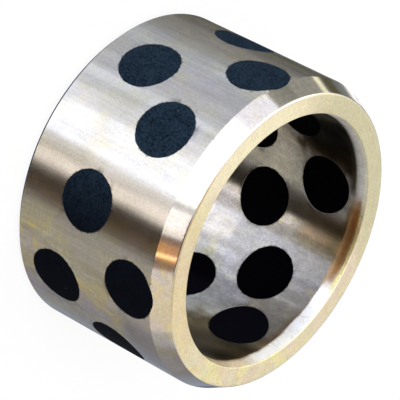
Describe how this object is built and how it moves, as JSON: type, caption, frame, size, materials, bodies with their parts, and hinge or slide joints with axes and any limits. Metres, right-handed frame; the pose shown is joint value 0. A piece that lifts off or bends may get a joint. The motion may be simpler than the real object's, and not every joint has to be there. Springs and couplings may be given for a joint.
{
  "type": "graphite plugged bushing",
  "caption": "Plain cylindrical bronze sleeve bearing with flush solid graphite plugs through its wall and a long lead-in chamfer on the front end.",
  "frame": {"origin": "centre of the rear face, on the bearing's axis", "axes": "+Z along the bearing's axis, from the rear face to the chamfered front face"},
  "size_m": [0.05, 0.05, 0.03],
  "materials": {
    "bronze": "fine turned, uncoated, slightly tarnished",
    "graphite": "solid pressed graphite, turned flush, dull black"
  },
  "bodies": {
    "root": {"bronze_sleeve": "bronze", "graphite_plug_01": "graphite", "graphite_plug_02": "graphite", "graphite_plug_03": "graphite", "graphite_plug_04": "graphite", "graphite_plug_05": "graphite", "graphite_plug_06": "graphite", "graphite_plug_07": "graphite", "graphite_plug_08": "graphite", "graphite_plug_09": "graphite", "graphite_plug_10": "graphite", "graphite_plug_11": "graphite", "graphite_plug_12": "graphite", "graphite_plug_13": "graphite", "graphite_plug_14": "graphite", "graphite_plug_15": "graphite", "graphite_plug_16": "graphite"}
  },
  "joints": []
}
